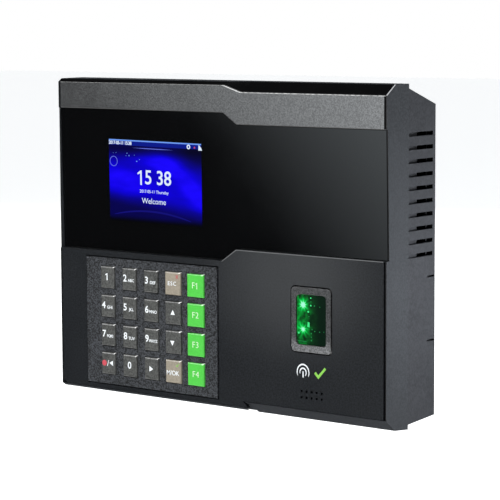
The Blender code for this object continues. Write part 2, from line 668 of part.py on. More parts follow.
def make_vent_cutter():
    """Vent slots that get deeper towards the wall, and the slits of the cable break-out."""
    boxes = []
    for side in (-1, 1):
        for index in range(VENT_COUNT):
            z = VENT_TOP_Z - index * VENT_PITCH
            ends = sorted((side * (CAVITY_HALF - MM), side * (CASE_HALF_WIDTH + MM)))
            boxes.append(((ends[0], CASE_Y - MM, z - VENT_HEIGHT / 2),
                          (ends[1], VENT_REAR_Y, z + VENT_HEIGHT / 2)))
    for z in KNOCKOUT_Z:
        boxes.append(((CAVITY_HALF - 0.4 * MM, REAR_Y - KNOCKOUT_DEPTH, z - KNOCKOUT_SLIT / 2),
                      (CASE_HALF_WIDTH + MM, REAR_Y - KNOCKOUT_WEB, z + KNOCKOUT_SLIT / 2)))
    vents = cluster("side_vents", boxes=boxes)
    for vertex in vents.data.vertices:
        if vertex.co.y < CASE_Y and abs(vertex.co.x) < CASE_HALF_WIDTH:
            vertex.co.x = math.copysign(CASE_HALF_WIDTH - VENT_START_DEPTH, vertex.co.x)
    return vents


# ---- wall bracket -------------------------------------------------------------------------
def bracket_outline(grow=0.0):
    half = BRACKET_HALF + grow
    tongue = TONGUE_HALF + grow
    low, high = BRACKET_Z[0] - grow, BRACKET_Z[1] + grow
    root = low - MM                     # the lower edge dips a little towards the tongue
    return [(-half, low), (-tongue, root), (-tongue, TONGUE_Z - grow),
            (tongue, TONGUE_Z - grow), (tongue, root), (half, low), (half, high),
            (-half, high)]


def make_wall_bracket():
    low_x, high_x = BRACKET_WINDOW_X
    low_z, high_z = BRACKET_WINDOW_Z
    window = [(low_x, low_z), (high_x, low_z), (high_x, high_z), (low_x, high_z)]
    holes = [round_corners(window, 3 * MM)]
    holes += [circle(centre, BRACKET_HOLE) for centre in BRACKET_HOLES]
    bracket = prism("wall_bracket", [bracket_outline()] + holes, "Y", -SHEET, 0)
    for index, (x, z) in enumerate(HOOKS):
        hook = [(-SHEET / 2, z), (-6.0 * MM, z), (-6.0 * MM, z + 5.5 * MM),
                (-4.6 * MM, z + 5.5 * MM), (-4.6 * MM, z + SHEET), (-SHEET / 2, z + SHEET)]
        join(bracket, prism(f"hook_{index}", [hook], "X", x - HOOK_WIDTH / 2,
                            x + HOOK_WIDTH / 2))
    flange = cluster("lock_flange", boxes=[((-TONGUE_HALF + MM, -10 * MM, TONGUE_Z + 0.05 * MM),
                                            (TONGUE_HALF - MM, -SHEET / 2, TONGUE_Z + SHEET))])
    join(bracket, flange)
    lock_hole = cluster("lock_hole", rods=[((0, LOCK_SCREW_Y, TONGUE_Z - MM),
                                            (0, LOCK_SCREW_Y, TONGUE_Z + 3 * MM),
                                            SCREW_HOLE)], sides=12)
    cut(bracket, lock_hole)
    return finish(bracket, STEEL)


# ---- fasteners ----------------------------------------------------------------------------
def screw(name, head_seat, aim, length, shank=1.4 * MM, head=2.8 * MM):
    """A pan-head screw: head_seat is under its head, aim points from tip to head."""
    rise = head * 0.6
    profile = [(0, rise), (head * 0.55, rise), (head, rise * 0.45), (head, 0), (shank, 0),
               (shank, -length + shank), (0, -length)]
    return turned(name, profile, head_seat, aim, STEEL, steps=12)


def make_screws():
    for index, (x, z) in enumerate(CASE_POSTS, start=1):
        screw(f"case_screw_{index}", (x, SEAT_Y + GAP, z), (0, 1, 0), 16 * MM)
    for index, (x, z) in enumerate(BOARD_POSTS, start=1):
        seat = (x, BOARD_REAR_Y + GAP, z)
        screw(f"board_screw_{index}", seat, (0, 1, 0), 6 * MM, 0.9 * MM, 1.9 * MM)
    bottom = CASE_BOTTOM[0] + (CASE_BOTTOM[1] - CASE_BOTTOM[0]) * 0.74
    screw("bracket_lock_screw", (0, LOCK_SCREW_Y, bottom - GAP), (0, 0, -1), 7 * MM)


# ---- boards and what is on them -----------------------------------------------------------
def make_electronics():
    low = (MAIN_BOARD_X[0], MAIN_BOARD_Z[0])
    high = (MAIN_BOARD_X[1], MAIN_BOARD_Z[1])
    outline = [low, (high[0], low[1]), high, (low[0], high[1])]
    holes = [circle(centre, 1.2 * MM, sides=8) for centre in BOARD_POSTS]
    board = prism("main_board", [outline] + holes, "Y", MAIN_BOARD_Y, BOARD_REAR_Y)
    finish(board, BOARD_GREEN)
    back = BOARD_REAR_Y + GAP
    box("battery_pack", (-70 * MM, back, 4 * MM), (-20 * MM, back + 10 * MM, 42 * MM),
        BATTERY_WRAP, bevel=1.5 * MM)
    x, z = SPEAKER_CENTRE
    depth = 4.5 * MM
    rim = [(0, depth), (6 * MM, depth), (6 * MM, 2 * MM), (SPEAKER_RADIUS, 1.6 * MM),
           (SPEAKER_RADIUS, 0), (0, 0)]
    turned("speaker", rim, (x, FRONT_WALL_BACK_Y + GAP, z), (0, 1, 0), BLACK_PLASTIC, 24)


def make_connectors():
    back = BOARD_REAR_Y + GAP
    ethernet = box("ethernet_socket", (-63 * MM, back, SOCKET_Z),
                   (-47 * MM, back + 13.5 * MM, SOCKET_Z + 16 * MM), STEEL)
    cut(ethernet, cluster("ethernet_mouth", boxes=[(
        (-60.9 * MM, back + 2.0 * MM, SOCKET_Z - MM),
        (-49.1 * MM, back + 10.2 * MM, SOCKET_Z + 11 * MM))]))
    usb = box("usb_socket", (-37.5 * MM, back, SOCKET_Z),
              (-23.0 * MM, back + 7 * MM, SOCKET_Z + 14 * MM), STEEL)
    cut(usb, cluster("usb_mouth", boxes=[(
        (-36.6 * MM, back + 0.8 * MM, SOCKET_Z - MM),
        (-23.9 * MM, back + 6.2 * MM, SOCKET_Z + 10 * MM))]))
    power = box("power_socket", (-14.5 * MM, back, SOCKET_Z),
                (-5.5 * MM, back + 11 * MM, SOCKET_Z + 14 * MM), BLACK_PLASTIC)
    centre = (-10 * MM, back + 6 * MM)
    cut(power, prism("power_mouth", [circle(centre, 3.3 * MM, 16), circle(centre, MM, 8)],
                     "Z", SOCKET_Z - MM, SOCKET_Z + 9 * MM))
    ways = [4.5 * MM + 5.08 * MM * index for index in range(6)]
    block = box("terminal_block", (1.7 * MM, back, SOCKET_Z),
                (32.7 * MM, back + 10 * MM, SOCKET_Z + 12 * MM), TERMINAL_GREEN)
    cut(block, cluster("wire_ways", boxes=[(
        (x - 1.6 * MM, back + 2 * MM, SOCKET_Z - MM),
        (x + 1.6 * MM, back + 5.2 * MM, SOCKET_Z + 6 * MM)) for x in ways],
        rods=[((x, back + 8.4 * MM, SOCKET_Z + 6 * MM), (x, back + 11 * MM, SOCKET_Z + 6 * MM),
               1.7 * MM) for x in ways], sides=8))


def make_tamper_switch():
    x, z = TAMPER_CENTRE
    back = BOARD_REAR_Y + GAP
    top = back + 10 * MM
    body = box("tamper_switch", (x - 6.4 * MM, back, z - 2.9 * MM),
               (x + 6.4 * MM, top, z + 2.9 * MM), BLACK_PLASTIC)
    guide = 1.6 * MM
    bore_depth = TAMPER_TRAVEL + GAP + MM
    cut(body, cluster("tamper_bore", rods=[((x, top - bore_depth, z), (x, top + MM, z), guide)],
                      sides=12))
    tip = -SHEET - GAP
    inner_end = top + GAP - MM
    length = tip - inner_end
    profile = [(0, length), (0.7 * MM, length), (1.2 * MM, length - 0.5 * MM),
               (1.2 * MM, 0), (0, 0)]
    turned("tamper_plunger", profile, (x, inner_end, z), (0, 1, 0), BLACK_PLASTIC, 12)


def build():
    make_front_housing()
    make_top_trim_strip()
    make_display_window()
    make_lower_front_panel()
    make_display_module()
    make_keypad()
    make_fingerprint_reader()
    make_electronics()
    make_connectors()
    make_tamper_switch()
    make_rear_housing()
    make_wall_bracket()
    make_screws()


build()
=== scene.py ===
"""Looks of the wall-mounted fingerprint scanner terminal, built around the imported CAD."""
import json
import math

import bmesh
import bpy
from mathutils import Matrix, Vector

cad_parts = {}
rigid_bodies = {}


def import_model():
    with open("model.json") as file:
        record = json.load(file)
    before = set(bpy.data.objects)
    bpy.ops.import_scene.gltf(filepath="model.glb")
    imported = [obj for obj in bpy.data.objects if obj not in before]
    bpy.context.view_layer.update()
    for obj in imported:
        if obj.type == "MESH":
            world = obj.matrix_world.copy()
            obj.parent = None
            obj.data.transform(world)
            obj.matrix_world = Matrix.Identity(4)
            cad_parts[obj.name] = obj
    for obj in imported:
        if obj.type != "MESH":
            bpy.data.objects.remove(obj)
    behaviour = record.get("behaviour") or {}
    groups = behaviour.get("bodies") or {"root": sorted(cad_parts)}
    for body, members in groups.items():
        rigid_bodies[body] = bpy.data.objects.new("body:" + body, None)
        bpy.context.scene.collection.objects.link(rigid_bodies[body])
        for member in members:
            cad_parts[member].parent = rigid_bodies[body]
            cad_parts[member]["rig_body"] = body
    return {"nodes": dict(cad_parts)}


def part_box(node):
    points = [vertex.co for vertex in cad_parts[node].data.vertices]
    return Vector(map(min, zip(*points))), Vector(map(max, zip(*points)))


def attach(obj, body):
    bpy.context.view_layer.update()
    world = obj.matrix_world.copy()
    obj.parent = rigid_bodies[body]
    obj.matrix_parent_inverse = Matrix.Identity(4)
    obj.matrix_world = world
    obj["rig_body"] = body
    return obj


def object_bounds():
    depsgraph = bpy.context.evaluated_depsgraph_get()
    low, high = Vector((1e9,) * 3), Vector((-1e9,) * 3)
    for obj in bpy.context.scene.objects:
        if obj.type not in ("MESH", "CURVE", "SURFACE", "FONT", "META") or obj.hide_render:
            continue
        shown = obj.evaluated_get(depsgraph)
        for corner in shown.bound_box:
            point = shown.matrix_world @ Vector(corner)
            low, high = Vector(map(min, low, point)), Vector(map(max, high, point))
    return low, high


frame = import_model()
CAD_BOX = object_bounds()

MM = 0.001
ROOT = "terminal"
SKIN = 0.04                         # thickness of printed and lit graphics, in mm
CAPITAL = 0.73                      # height of a capital letter, as a share of the text size


# ---- camera and light -----------------------------------------------------------------------
CAMERA_PLACE = (0.61292, -0.79706, 0.10690)
CAMERA_FORWARD = (-0.61188, 0.78318, -0.11060)
CAMERA_DOWN = (0.06452, -0.08995, -0.99385)
CAMERA_LENS = 152.64                # mm, on a sensor 36 mm wide


def make_camera():
    data = bpy.data.cameras.new("camera")
    data.sensor_width = 36.0
    data.lens = CAMERA_LENS
    data.clip_start, data.clip_end = 0.01, 50.0
    camera = bpy.data.objects.new("camera", data)
    bpy.context.scene.collection.objects.link(camera)
    forward = Vector(CAMERA_FORWARD).normalized()
    right = Vector(CAMERA_DOWN).cross(forward).normalized()
    up = right.cross(forward)
    turn = Matrix((right, up, -forward)).transposed().to_4x4()
    camera.matrix_world = Matrix.Translation(CAMERA_PLACE) @ turn
    bpy.context.scene.camera = camera


def rgb(red, green, blue):
    """Linear colour of an sRGB colour given as 0 to 255."""
    out = []
    for part in (red, green, blue):
        part /= 255
        out.append(part / 12.92 if part <= 0.04045 else ((part + 0.055) / 1.055) ** 2.4)
    return tuple(out)


def make_world():
    """A soft white room with a dark side at the upper left, so that gloss reads as gloss."""
    world = bpy.data.worlds.new("room")
    bpy.context.scene.world = world
    world.use_nodes = True
    tree = world.node_tree
    tree.nodes.clear()
    new, link = tree.nodes.new, tree.links.new

    def math_node(operation, *values):
        made = new("ShaderNodeMath")
        made.operation = operation
        for socket, value in zip(made.inputs, values):
            if isinstance(value, bpy.types.NodeSocket):
                link(value, socket)
            else:
                socket.default_value = value
        return made.outputs[0]

    def fade(value, low, high, to_low, to_high):
        made = new("ShaderNodeMapRange")
        link(value, made.inputs[0])
        for socket, item in zip(list(made.inputs)[1:5], (low, high, to_low, to_high)):
            socket.default_value = item
        return made.outputs[0]

    split = new("ShaderNodeSeparateXYZ")
    link(new("ShaderNodeTexCoord").outputs["Generated"], split.inputs[0])
    x, y, z = split.outputs
    height = math_node("MULTIPLY", math_node("MINIMUM", math_node("ABSOLUTE", z), 0.2), 0.55)
    left = math_node("ADD", math_node("MULTIPLY", x, -0.78), math_node("MULTIPLY", y, 0.30))
    glow = fade(math_node("ADD", left, height), 0.24, 0.306, 1.28, 0.03)
    glow = math_node("MULTIPLY", glow, fade(x, 0.1, 0.6, 1.0, 0.20))
    glow = math_node("MULTIPLY", glow, fade(z, -0.45, 0.0, 0.30, 1.0))
    glow = math_node("MULTIPLY", glow, fade(y, 0.3, 0.75, 1.0, 0.35))
    room = new("ShaderNodeBackground")
    room.inputs["Color"].default_value = (0.93, 0.97, 1.0, 1)
    link(glow, room.inputs["Strength"])
    seen = new("ShaderNodeBackground")
    seen.inputs["Color"].default_value = (1, 1, 1, 1)
    path = new("ShaderNodeLightPath")
    choose = new("ShaderNodeMixShader")
    link(path.outputs["Is Camera Ray"], choose.inputs["Fac"])
    link(room.outputs[0], choose.inputs[1])
    link(seen.outputs[0], choose.inputs[2])
    link(choose.outputs[0], new("ShaderNodeOutputWorld").inputs["Surface"])


def add_light(name, place, aim, size, power, glossy=True):
    data = bpy.data.lights.new(name, "AREA")
    data.shape = "RECTANGLE"
    data.size, data.size_y = size
    data.energy = power
    lamp = bpy.data.objects.new(name, data)
    bpy.context.scene.collection.objects.link(lamp)
    lamp.location = place
    lamp.rotation_euler = (Vector(aim) - Vector(place)).to_track_quat("-Z", "Y").to_euler()
    lamp.visible_glossy = glossy
    lamp.visible_camera = False


FLOOR_DROP = 60 * MM                # the terminal hangs on a wall, clear of the floor
FLOOR_REACH = 6.0                   # half the floor's width, in metres


def make_floor():
    mesh = bpy.data.meshes.new("floor")
    z = CAD_BOX[0].z - FLOOR_DROP
    corners = ((-1, -1), (1, -1), (1, 1), (-1, 1))
    mesh.from_pydata([(x * FLOOR_REACH, y * FLOOR_REACH, z) for x, y in corners], [],
                     [(0, 1, 2, 3)])
    floor = bpy.data.objects.new("floor", mesh)
    bpy.context.scene.collection.objects.link(floor)
    pale = Finish("pale_floor", (0.93, 0.93, 0.93), 0.9)
    pale.set("Emission Color", (1, 1, 1, 1))
    pale.set("Emission Strength", 0.55)
    mesh.materials.append(pale.material)
    floor.visible_glossy = False


# ---- materials ------------------------------------------------------------------------------
class Finish:
    """A node material around one Principled shader."""

    def __init__(self, name, colour, roughness, metallic=0.0):
        self.material = bpy.data.materials.new(name)
        self.material.use_nodes = True
        self.tree = self.material.node_tree
        self.shader = self.tree.nodes["Principled BSDF"]
        self.set("Base Color", (*colour, 1))
        self.set("Roughness", roughness)
        self.set("Metallic", metallic)
        self.where = self.node("ShaderNodeTexCoord").outputs["Object"]

    def node(self, kind, **settings):
        made = self.tree.nodes.new(kind)
        for key, value in settings.items():
            setattr(made, key, value)
        return made

    def put(self, socket, value):
        if isinstance(value, bpy.types.NodeSocket):
            self.tree.links.new(value, socket)
        else:
            socket.default_value = value

    def set(self, name, value):
        self.put(self.shader.inputs[name], value)

    def math(self, operation, *values, clamp=False):
        made = self.node("ShaderNodeMath", operation=operation, use_clamp=clamp)
        for socket, value in zip(made.inputs, values):
            self.put(socket, value)
        return made.outputs[0]

    def fit(self, value, low, high, to_low=0.0, to_high=1.0, smooth=False):
        made = self.node("ShaderNodeMapRange")
        if smooth:
            made.interpolation_type = "SMOOTHSTEP"
        for socket, item in zip(made.inputs, (value, low, high, to_low, to_high)):
            self.put(socket, item)
        return made.outputs[0]

    def noise(self, scale, detail=2.0, rough=0.5, stretch=None):
        place = self.where
        if stretch:
            squeezed = self.node("ShaderNodeVectorMath", operation="MULTIPLY")
            self.put(squeezed.inputs[0], place)
            squeezed.inputs[1].default_value = stretch
            place = squeezed.outputs[0]
        made = self.node("ShaderNodeTexNoise")
        self.put(made.inputs["Vector"], place)
        for key, value in (("Scale", scale), ("Detail", detail), ("Roughness", rough)):
            made.inputs[key].default_value = value
        return made.outputs["Fac"]

    def blend(self, factor, first, second, mode="MIX"):
        made = self.node("ShaderNodeMix", data_type="RGBA", blend_type=mode)
        self.put(made.inputs["Factor"], factor)
        for name, value in (("A", first), ("B", second)):
            if isinstance(value, tuple) and len(value) == 3:
                value = (*value, 1)
            self.put([s for s in made.inputs if s.name == name and s.type == "RGBA"][0],
                     value)
        return [s for s in made.outputs if s.type == "RGBA"][0]

    def ramp(self, factor, stops):
        made = self.node("ShaderNodeValToRGB")
        self.put(made.inputs[0], factor)
        band = made.color_ramp
        while len(band.elements) < len(stops):
            band.elements.new(0.5)
        for element, (at, colour) in zip(band.elements, stops):
            element.position = at
            element.color = (*colour, 1)
        return made.outputs["Color"]

    def split(self, vector):
        made = self.node("ShaderNodeSeparateXYZ")
        self.put(made.inputs[0], vector)
        return made.outputs

    def axis(self):
        return self.split(self.where)

    def geometry(self, name):
        """World position or normal, split into its three parts."""
        return self.split(self.node("ShaderNodeNewGeometry").outputs[name])

    def source(self, name):
        """What feeds an input of the shader."""
        return self.shader.inputs[name].links[0].from_socket

    def length(self, across, up):
        return self.math("SQRT", self.math("ADD", self.math("MULTIPLY", across, across),
                                           self.math("MULTIPLY", up, up)))

    def tone(self, colour, level):
        """A colour times a level."""
        grey = self.node("ShaderNodeCombineXYZ")
        for socket in grey.inputs:
            self.put(socket, level)
        return self.blend(1.0, colour, grey.outputs[0], "MULTIPLY")

    def bump(self, height, depth_mm):
        made = self.node("ShaderNodeBump")
        made.inputs["Strength"].default_value = 1.0
        made.inputs["Distance"].default_value = depth_mm * MM
        self.put(made.inputs["Height"], height)
        self.set("Normal", made.outputs[0])

    def coat(self, weight, roughness):
        self.set("Coat Weight", weight)
        self.set("Coat Roughness", roughness)


def grained(name, colour, roughness, metallic=0.0, size_mm=0.35, depth_mm=0.02,
            speckle=0.15, mottle=0.06, sheen=0.06, crisp=0.2):
    """A moulded or sprayed surface: fine grain, a slow change of tone and uneven gloss."""
    made = Finish(name, colour, roughness, metallic)
    grain = made.noise(1 / (size_mm * MM), 3.0, 0.6)
    slow = made.noise(45.0, 3.0, 0.55)
    shade = made.math("ADD", made.fit(grain, 0.5 - crisp, 0.5 + crisp, 1 - speckle, 1 + speckle),
                      made.fit(slow, 0.3, 0.7, -mottle, mottle))
    made.set("Base Color", made.tone(colour, shade))
    made.set("Roughness", made.fit(slow, 0.3, 0.7, roughness - sheen, roughness + sheen))
    if depth_mm:
        made.bump(grain, depth_mm)
    return made


def glossy(name, colour, roughness, coat=0.0, dust_level=0.5):
    """Polished plastic or glass: faint smears in the gloss and specks of dust."""
    made = Finish(name, colour, roughness)
    smear = made.noise(28.0, 4.0, 0.6)
    made.set("Roughness", made.fit(smear, 0.35, 0.75, roughness * 0.8, roughness * 1.35))
    dust = made.fit(made.noise(2600.0, 1.0, 0.5), 0.80, 0.9, 0.0, dust_level)
    made.set("Base Color", made.blend(dust, colour, (0.12, 0.12, 0.13)))
    made.coat(coat, 0.03)
    return made


def lit(name, colour, strength=1.0):
    """A glowing surface, very slightly uneven."""
    made = Finish(name, (0.0, 0.0, 0.0), 0.25)
    made.set("Specular IOR Level", 0.05)
    cells = made.noise(5200.0, 0.0, 0.5)
    made.set("Emission Color", made.tone(colour, made.fit(cells, 0.3, 0.7, 0.93, 1.07)))
    made.set("Emission Strength", strength)
    return made.material


KEY_STEPS = 4                       # columns of keys after the first one
GLINT_FROM, GLINT_FULL = 0.73, 0.79     # where a key's right end is, as shares of a column


def key_end_glint(made, slope, strength):
    """Glint at the right end of each key's upper bevel, found from the key columns."""
    first, last = (sum(end.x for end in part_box(key)) / 2 for key in ("key_1", "key_f1"))
    pitch = (last - first) / KEY_STEPS
    column = made.math("DIVIDE", made.math("SUBTRACT", made.axis()[0], first - pitch / 2), pitch)
    return made.math("MULTIPLY", made.fit(slope, 0.15, 0.3, 0.0, strength),
                     made.fit(made.math("FRACT", column), GLINT_FROM, GLINT_FULL))


def edge_shine(made, upper, lower, corner=0.0):
    """Bright hairlines on narrow bevels that look up or down, and a glint on keys."""
    z = made.geometry("Normal")["Z"]
    wave = made.fit(made.noise(900.0, 1.0, 0.5), 0.35, 0.65, 0.45, 1.3)
    up = made.math("MULTIPLY", made.fit(z, 0.15, 0.35, 0.0, upper),
                   made.fit(z, 0.9, 0.97, 1.0, 0.0))
    down = made.math("MULTIPLY", made.fit(z, -0.15, -0.35, 0.0, lower),
                     made.fit(z, -0.9, -0.97, 1.0, 0.0))
    total = made.math("ADD", made.math("MULTIPLY", up, wave), down)
    if corner:
        total = made.math("ADD", total, key_end_glint(made, z, corner))
    made.set("Emission Color", (1.0, 1.0, 1.0, 1))
    made.set("Emission Strength", total)
    return made


def make_case_finish(name, satin, gloss):
    """Satin flanks and back; faces that look forward are polished and carry painted shade."""
    made = grained(name, satin, 0.5, size_mm=0.9, depth_mm=0.012, speckle=0.20, crisp=0.12)
    normal = made.split(made.node("ShaderNodeTexCoord").outputs["Normal"])
    forward = made.math("MULTIPLY", made.fit(normal["Y"], -0.35, -0.15, 1.0, 0.0),
                        made.fit(normal["Z"], -0.5, -0.3, 0.0, 1.0))
    # Painted shade: faces that look forward, but not down, are coloured near black.
    made.set("Base Color", made.blend(forward, made.source("Base Color"), gloss))
    made.set("Roughness", made.math("ADD", made.source("Roughness"),
                                    made.math("MULTIPLY", forward, -0.32)))
    return made.material


def make_screen_finish():
    """Blue picture with a pool of light, a bright band and a dark top and bottom."""
    made = Finish("display_picture", (0.0, 0.0, 0.0), 0.2)
    made.set("Specular IOR Level", 0.05)
    x, y, _ = made.axis()

    def spot(middle_x, middle_y, wide, high):
        """Distance from a point, all in mm, as a share of an ellipse's half axes."""
        return made.length(
            made.math("DIVIDE", made.math("SUBTRACT", x, middle_x * MM), wide * MM),
            made.math("DIVIDE", made.math("SUBTRACT", y, middle_y * MM), high * MM))

    slant = made.math("ADD", y, made.math("MULTIPLY", x, 0.13))
    ring_away = made.math("ABSOLUTE", made.math("SUBTRACT", spot(-16, -23, 50, 38), 0.95))
    band = made.math("MULTIPLY", made.fit(ring_away, 0.0, 0.2, 0.36, 0.0, True),
                     made.fit(y, -15 * MM, -8 * MM, 0.0, 1.0, True))
    pool = made.fit(spot(-20, -1, 26, 9), 0.2, 1.0, 0.26, 0.0, True)
    glow = made.math("ADD", made.fit(slant, -15.5 * MM, -5.5 * MM, 0.15, 0.72, True),
                     made.math("ADD", band, pool), clamp=True)
    dim = made.fit(spot(-24, 17, 30, 13), 0.3, 1.0, 0.45, 1.0, True)
    corner = made.fit(spot(29, 17, 22, 15), 0.3, 1.0, 0.2, 1.0, True)
    ground = made.fit(y, -19.3 * MM, -16.0 * MM, 0.0, 1.0, True)
    fade = made.math("MULTIPLY", made.math("MULTIPLY", ground, corner),
                     made.fit(y, 15.4 * MM, 10.5 * MM, 0.25, 1.0, True))
    streaks = made.fit(made.noise(70.0, 3.0, 0.5, (0.5, 1.6, 1.0)), 0.3, 0.7, 0.82, 1.12)
    level = made.math("MULTIPLY", made.math("MULTIPLY", glow, fade), made.math(
        "MULTIPLY", dim, streaks), clamp=True)
    colour = made.ramp(level, [(0.0, rgb(5, 5, 14)), (0.18, rgb(8, 5, 84)),
                               (0.5, rgb(10, 4, 150)), (0.8, rgb(14, 2, 218)),
                               (1.0, rgb(26, 6, 255))])
    made.set("Emission Color", colour)
    made.set("Emission Strength", 1.0)
    return made.material


def make_reader_finish():
    """Dark green prism glass with the glow and the rays of two lamps behind it."""
    made = Finish("reader_glass", (0.001, 0.006, 0.003), 0.08)
    made.set("Specular IOR Level", 0.10)
    x, _, z = made.axis()
    low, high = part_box("sensor_glass")
    patches = made.noise(300.0, 2.0, 0.6)
    total = None
    for drop, power in ((4.6 * MM, 1.0), (15.6 * MM, 0.85)):
        right = made.math("SUBTRACT", x, low.x + 3.3 * MM)
        up = made.math("SUBTRACT", z, high.z - drop)
        away = made.length(right, up)
        angle = made.math("ARCTAN2", up, right)
        comb = made.math("COSINE", made.math("ADD", made.math("MULTIPLY", angle, 9.0),
                                             made.math("MULTIPLY", patches, 9.0)))
        comb = made.math("POWER", made.fit(comb, -1.0, 1.0), 1.5)
        far = made.math("EXPONENT", made.math("DIVIDE", away, -2.1 * MM))
        near = made.math("EXPONENT", made.math("DIVIDE", away, -0.8 * MM))
        rays = made.math("MULTIPLY", far, made.fit(comb, 0.0, 1.0, 0.35, 1.0))
        light = made.math("MULTIPLY", made.math("ADD", rays, made.math(
            "MULTIPLY", near, 1.5)), power)
        total = light if total is None else made.math("ADD", total, light)
    haze = made.math("MULTIPLY", made.fit(x, low.x, low.x + 12 * MM, 0.17, 0.0),
                     made.fit(patches, 0.38, 0.62, 0.15, 1.9))
    total = made.math("ADD", total, haze, clamp=True)
    made.set("Emission Color", made.ramp(total, [
        (0.0, rgb(5, 14, 8)), (0.10, rgb(10, 48, 18)), (0.35, rgb(8, 140, 48)),
        (0.65, rgb(14, 226, 92)), (1.0, rgb(170, 255, 220))]))
    made.set("Emission Strength", 1.0)
    return made.material


def make_frame_finish():
    """Sprayed silver with painted light: its colour is lighter towards the lower end."""
    made = edge_shine(grained("reader_silver", (0.15, 0.15, 0.152), 0.45, 0.75, size_mm=0.6,
                              depth_mm=0.04, speckle=0.45, mottle=0.04, crisp=0.12),
                      0.02, 0.10)
    low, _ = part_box("sensor_frame")
    # Painted light: the silver is made brighter near the lower end and darker above.
    level = made.fit(made.geometry("Position")["Z"], low.z + 1 * MM, low.z + 8 * MM,
                     1.75, 0.66, True)
    made.set("Base Color", made.tone(made.source("Base Color"), level))
    return made.material


def make_panel_finish():
    """Satin black with a painted sheen, strongest at the upper middle of the panel."""
    made = grained("panel_satin_black", (0.0075, 0.0088, 0.0108), 0.36, size_mm=0.8,
                   depth_mm=0.01, speckle=0.6, mottle=0.03, sheen=0.05, crisp=0.11)
    # Painted sheen: the specular level rises towards a spot at the upper middle of the panel.
    place = made.geometry("Position")
    across = made.math("DIVIDE", made.math("SUBTRACT", place["X"], 42 * MM), 52 * MM)
    up = made.math("DIVIDE", made.math("SUBTRACT", place["Z"], -10 * MM), 42 * MM)
    away = made.length(across, up)
    made.set("Specular IOR Level", made.fit(away, 0.15, 1.2, 1.2, 0.34, True))
    return made.material


# Near black of the glossy window, also used as painted shade on the case's forward faces.
GLOSS_BLACK_AND_FRONT_SHADE = (0.0012, 0.0012, 0.0014)


def make_window_finish():
    """Black glass with a strong, slightly blue reflection."""
    made = glossy("window_gloss", GLOSS_BLACK_AND_FRONT_SHADE, 0.06, dust_level=0.08)
    made.set("Specular IOR Level", 0.80)
    made.set("Specular Tint", (0.93, 0.98, 1.0, 1))
    return made.material


def ink(name, colour):
    return grained(name, colour, 0.5, size_mm=0.2, depth_mm=0.0, speckle=0.03).material


# Painted shade: the bezel is coloured a touch lighter and bluer than the case, to match how each
# side is lit.
CASE = make_case_finish("case_satin_black", (0.033, 0.035, 0.040), GLOSS_BLACK_AND_FRONT_SHADE)
BEZEL = make_case_finish("bezel_satin_black", (0.034, 0.037, 0.042), GLOSS_BLACK_AND_FRONT_SHADE)
STRIP = edge_shine(grained(
    "sprayed_silver", (0.285, 0.285, 0.285), 0.23, 1.0, size_mm=0.6, depth_mm=0.008,
    speckle=0.24, mottle=0.02, sheen=0.03, crisp=0.12), 0.62, 0.10).material
WINDOW = make_window_finish()
PANEL = make_panel_finish()
PLATE = grained("keypad_texture", (0.025, 0.027, 0.031), 0.60, size_mm=0.62,
                depth_mm=0.05, speckle=1.0, mottle=0.08, crisp=0.06).material
KEY_GREY = edge_shine(grained("key_smoke", (0.066, 0.067, 0.063), 0.32, size_mm=0.9,
                              depth_mm=0.02, speckle=0.45, mottle=0.04, crisp=0.13),
                      0.16, 0.06, corner=1.1)
KEY_GREY.coat(0.25, 0.25)
KEY_TAUPE = edge_shine(grained("key_taupe_finish", rgb(143, 134, 119), 0.40, size_mm=0.9,
                               depth_mm=0.01, speckle=0.10, mottle=0.03, crisp=0.12),
                       0.20, 0.0, corner=0.6)
KEY_GREEN = edge_shine(grained("key_green_finish", rgb(72, 190, 62), 0.36, size_mm=0.9,
                               depth_mm=0.006, speckle=0.05, mottle=0.02, crisp=0.15),
                       0.16, 0.05, corner=0.6)
RUBBER = grained("silicone", (0.30, 0.30, 0.30), 0.8, depth_mm=0.02).material
BOARD = grained("board_lacquer", (0.012, 0.12, 0.04), 0.35, size_mm=1.6, depth_mm=0.03,
                speckle=0.35, mottle=0.15).material
FRAME = make_frame_finish()
READER = make_reader_finish()
LCD = glossy("lcd_polariser", (0.01, 0.012, 0.03), 0.12, 0.5).material
STEEL = grained("zinc_plate", (0.55, 0.56, 0.57), 0.33, 1.0, size_mm=6.0, depth_mm=0.01,
                speckle=0.08, mottle=0.08, sheen=0.1).material
DARK = grained("moulded_black", (0.014, 0.014, 0.015), 0.5, depth_mm=0.015).material
GREEN_BLOCK = grained("terminal_green_finish", (0.03, 0.27, 0.09), 0.45,
                      depth_mm=0.01).material
BATTERY = grained("battery_sleeve", (0.03, 0.10, 0.33), 0.28, size_mm=9.0, depth_mm=0.12,
                  speckle=0.05).material
LAMP = lit("lamp_green", rgb(60, 240, 120), 1.2)
GLINT = lit("corner_glint", (0.55, 0.56, 0.58))
GLINT_SOFT = lit("edge_glint", (0.20, 0.205, 0.21))
WHITE_INK = ink("white_ink", rgb(226, 230, 232))
PALE_INK = ink("pale_ink", rgb(196, 226, 186))
RED_INK = ink("red_ink", rgb(190, 66, 78))
GREEN_INK = ink("green_ink", rgb(126, 190, 70))
PICTURE = make_screen_finish()
SCREEN_WHITE = lit("screen_white", rgb(226, 240, 255))
SCREEN_PALE = lit("screen_pale_blue", rgb(112, 158, 246))
SCREEN_BLUE = lit("screen_bar_blue", rgb(12, 28, 136))
SCREEN_HAZE = lit("screen_haze", rgb(104, 116, 226))
SCREEN_ARC = lit("screen_arc", rgb(18, 16, 116))
SCREEN_RED = lit("screen_red", rgb(190, 70, 110))
SPARKLE = lit("reader_sparkle", rgb(70, 240, 140))
SPARKLE_DIM = lit("reader_sparkle_dim", rgb(34, 132, 70))

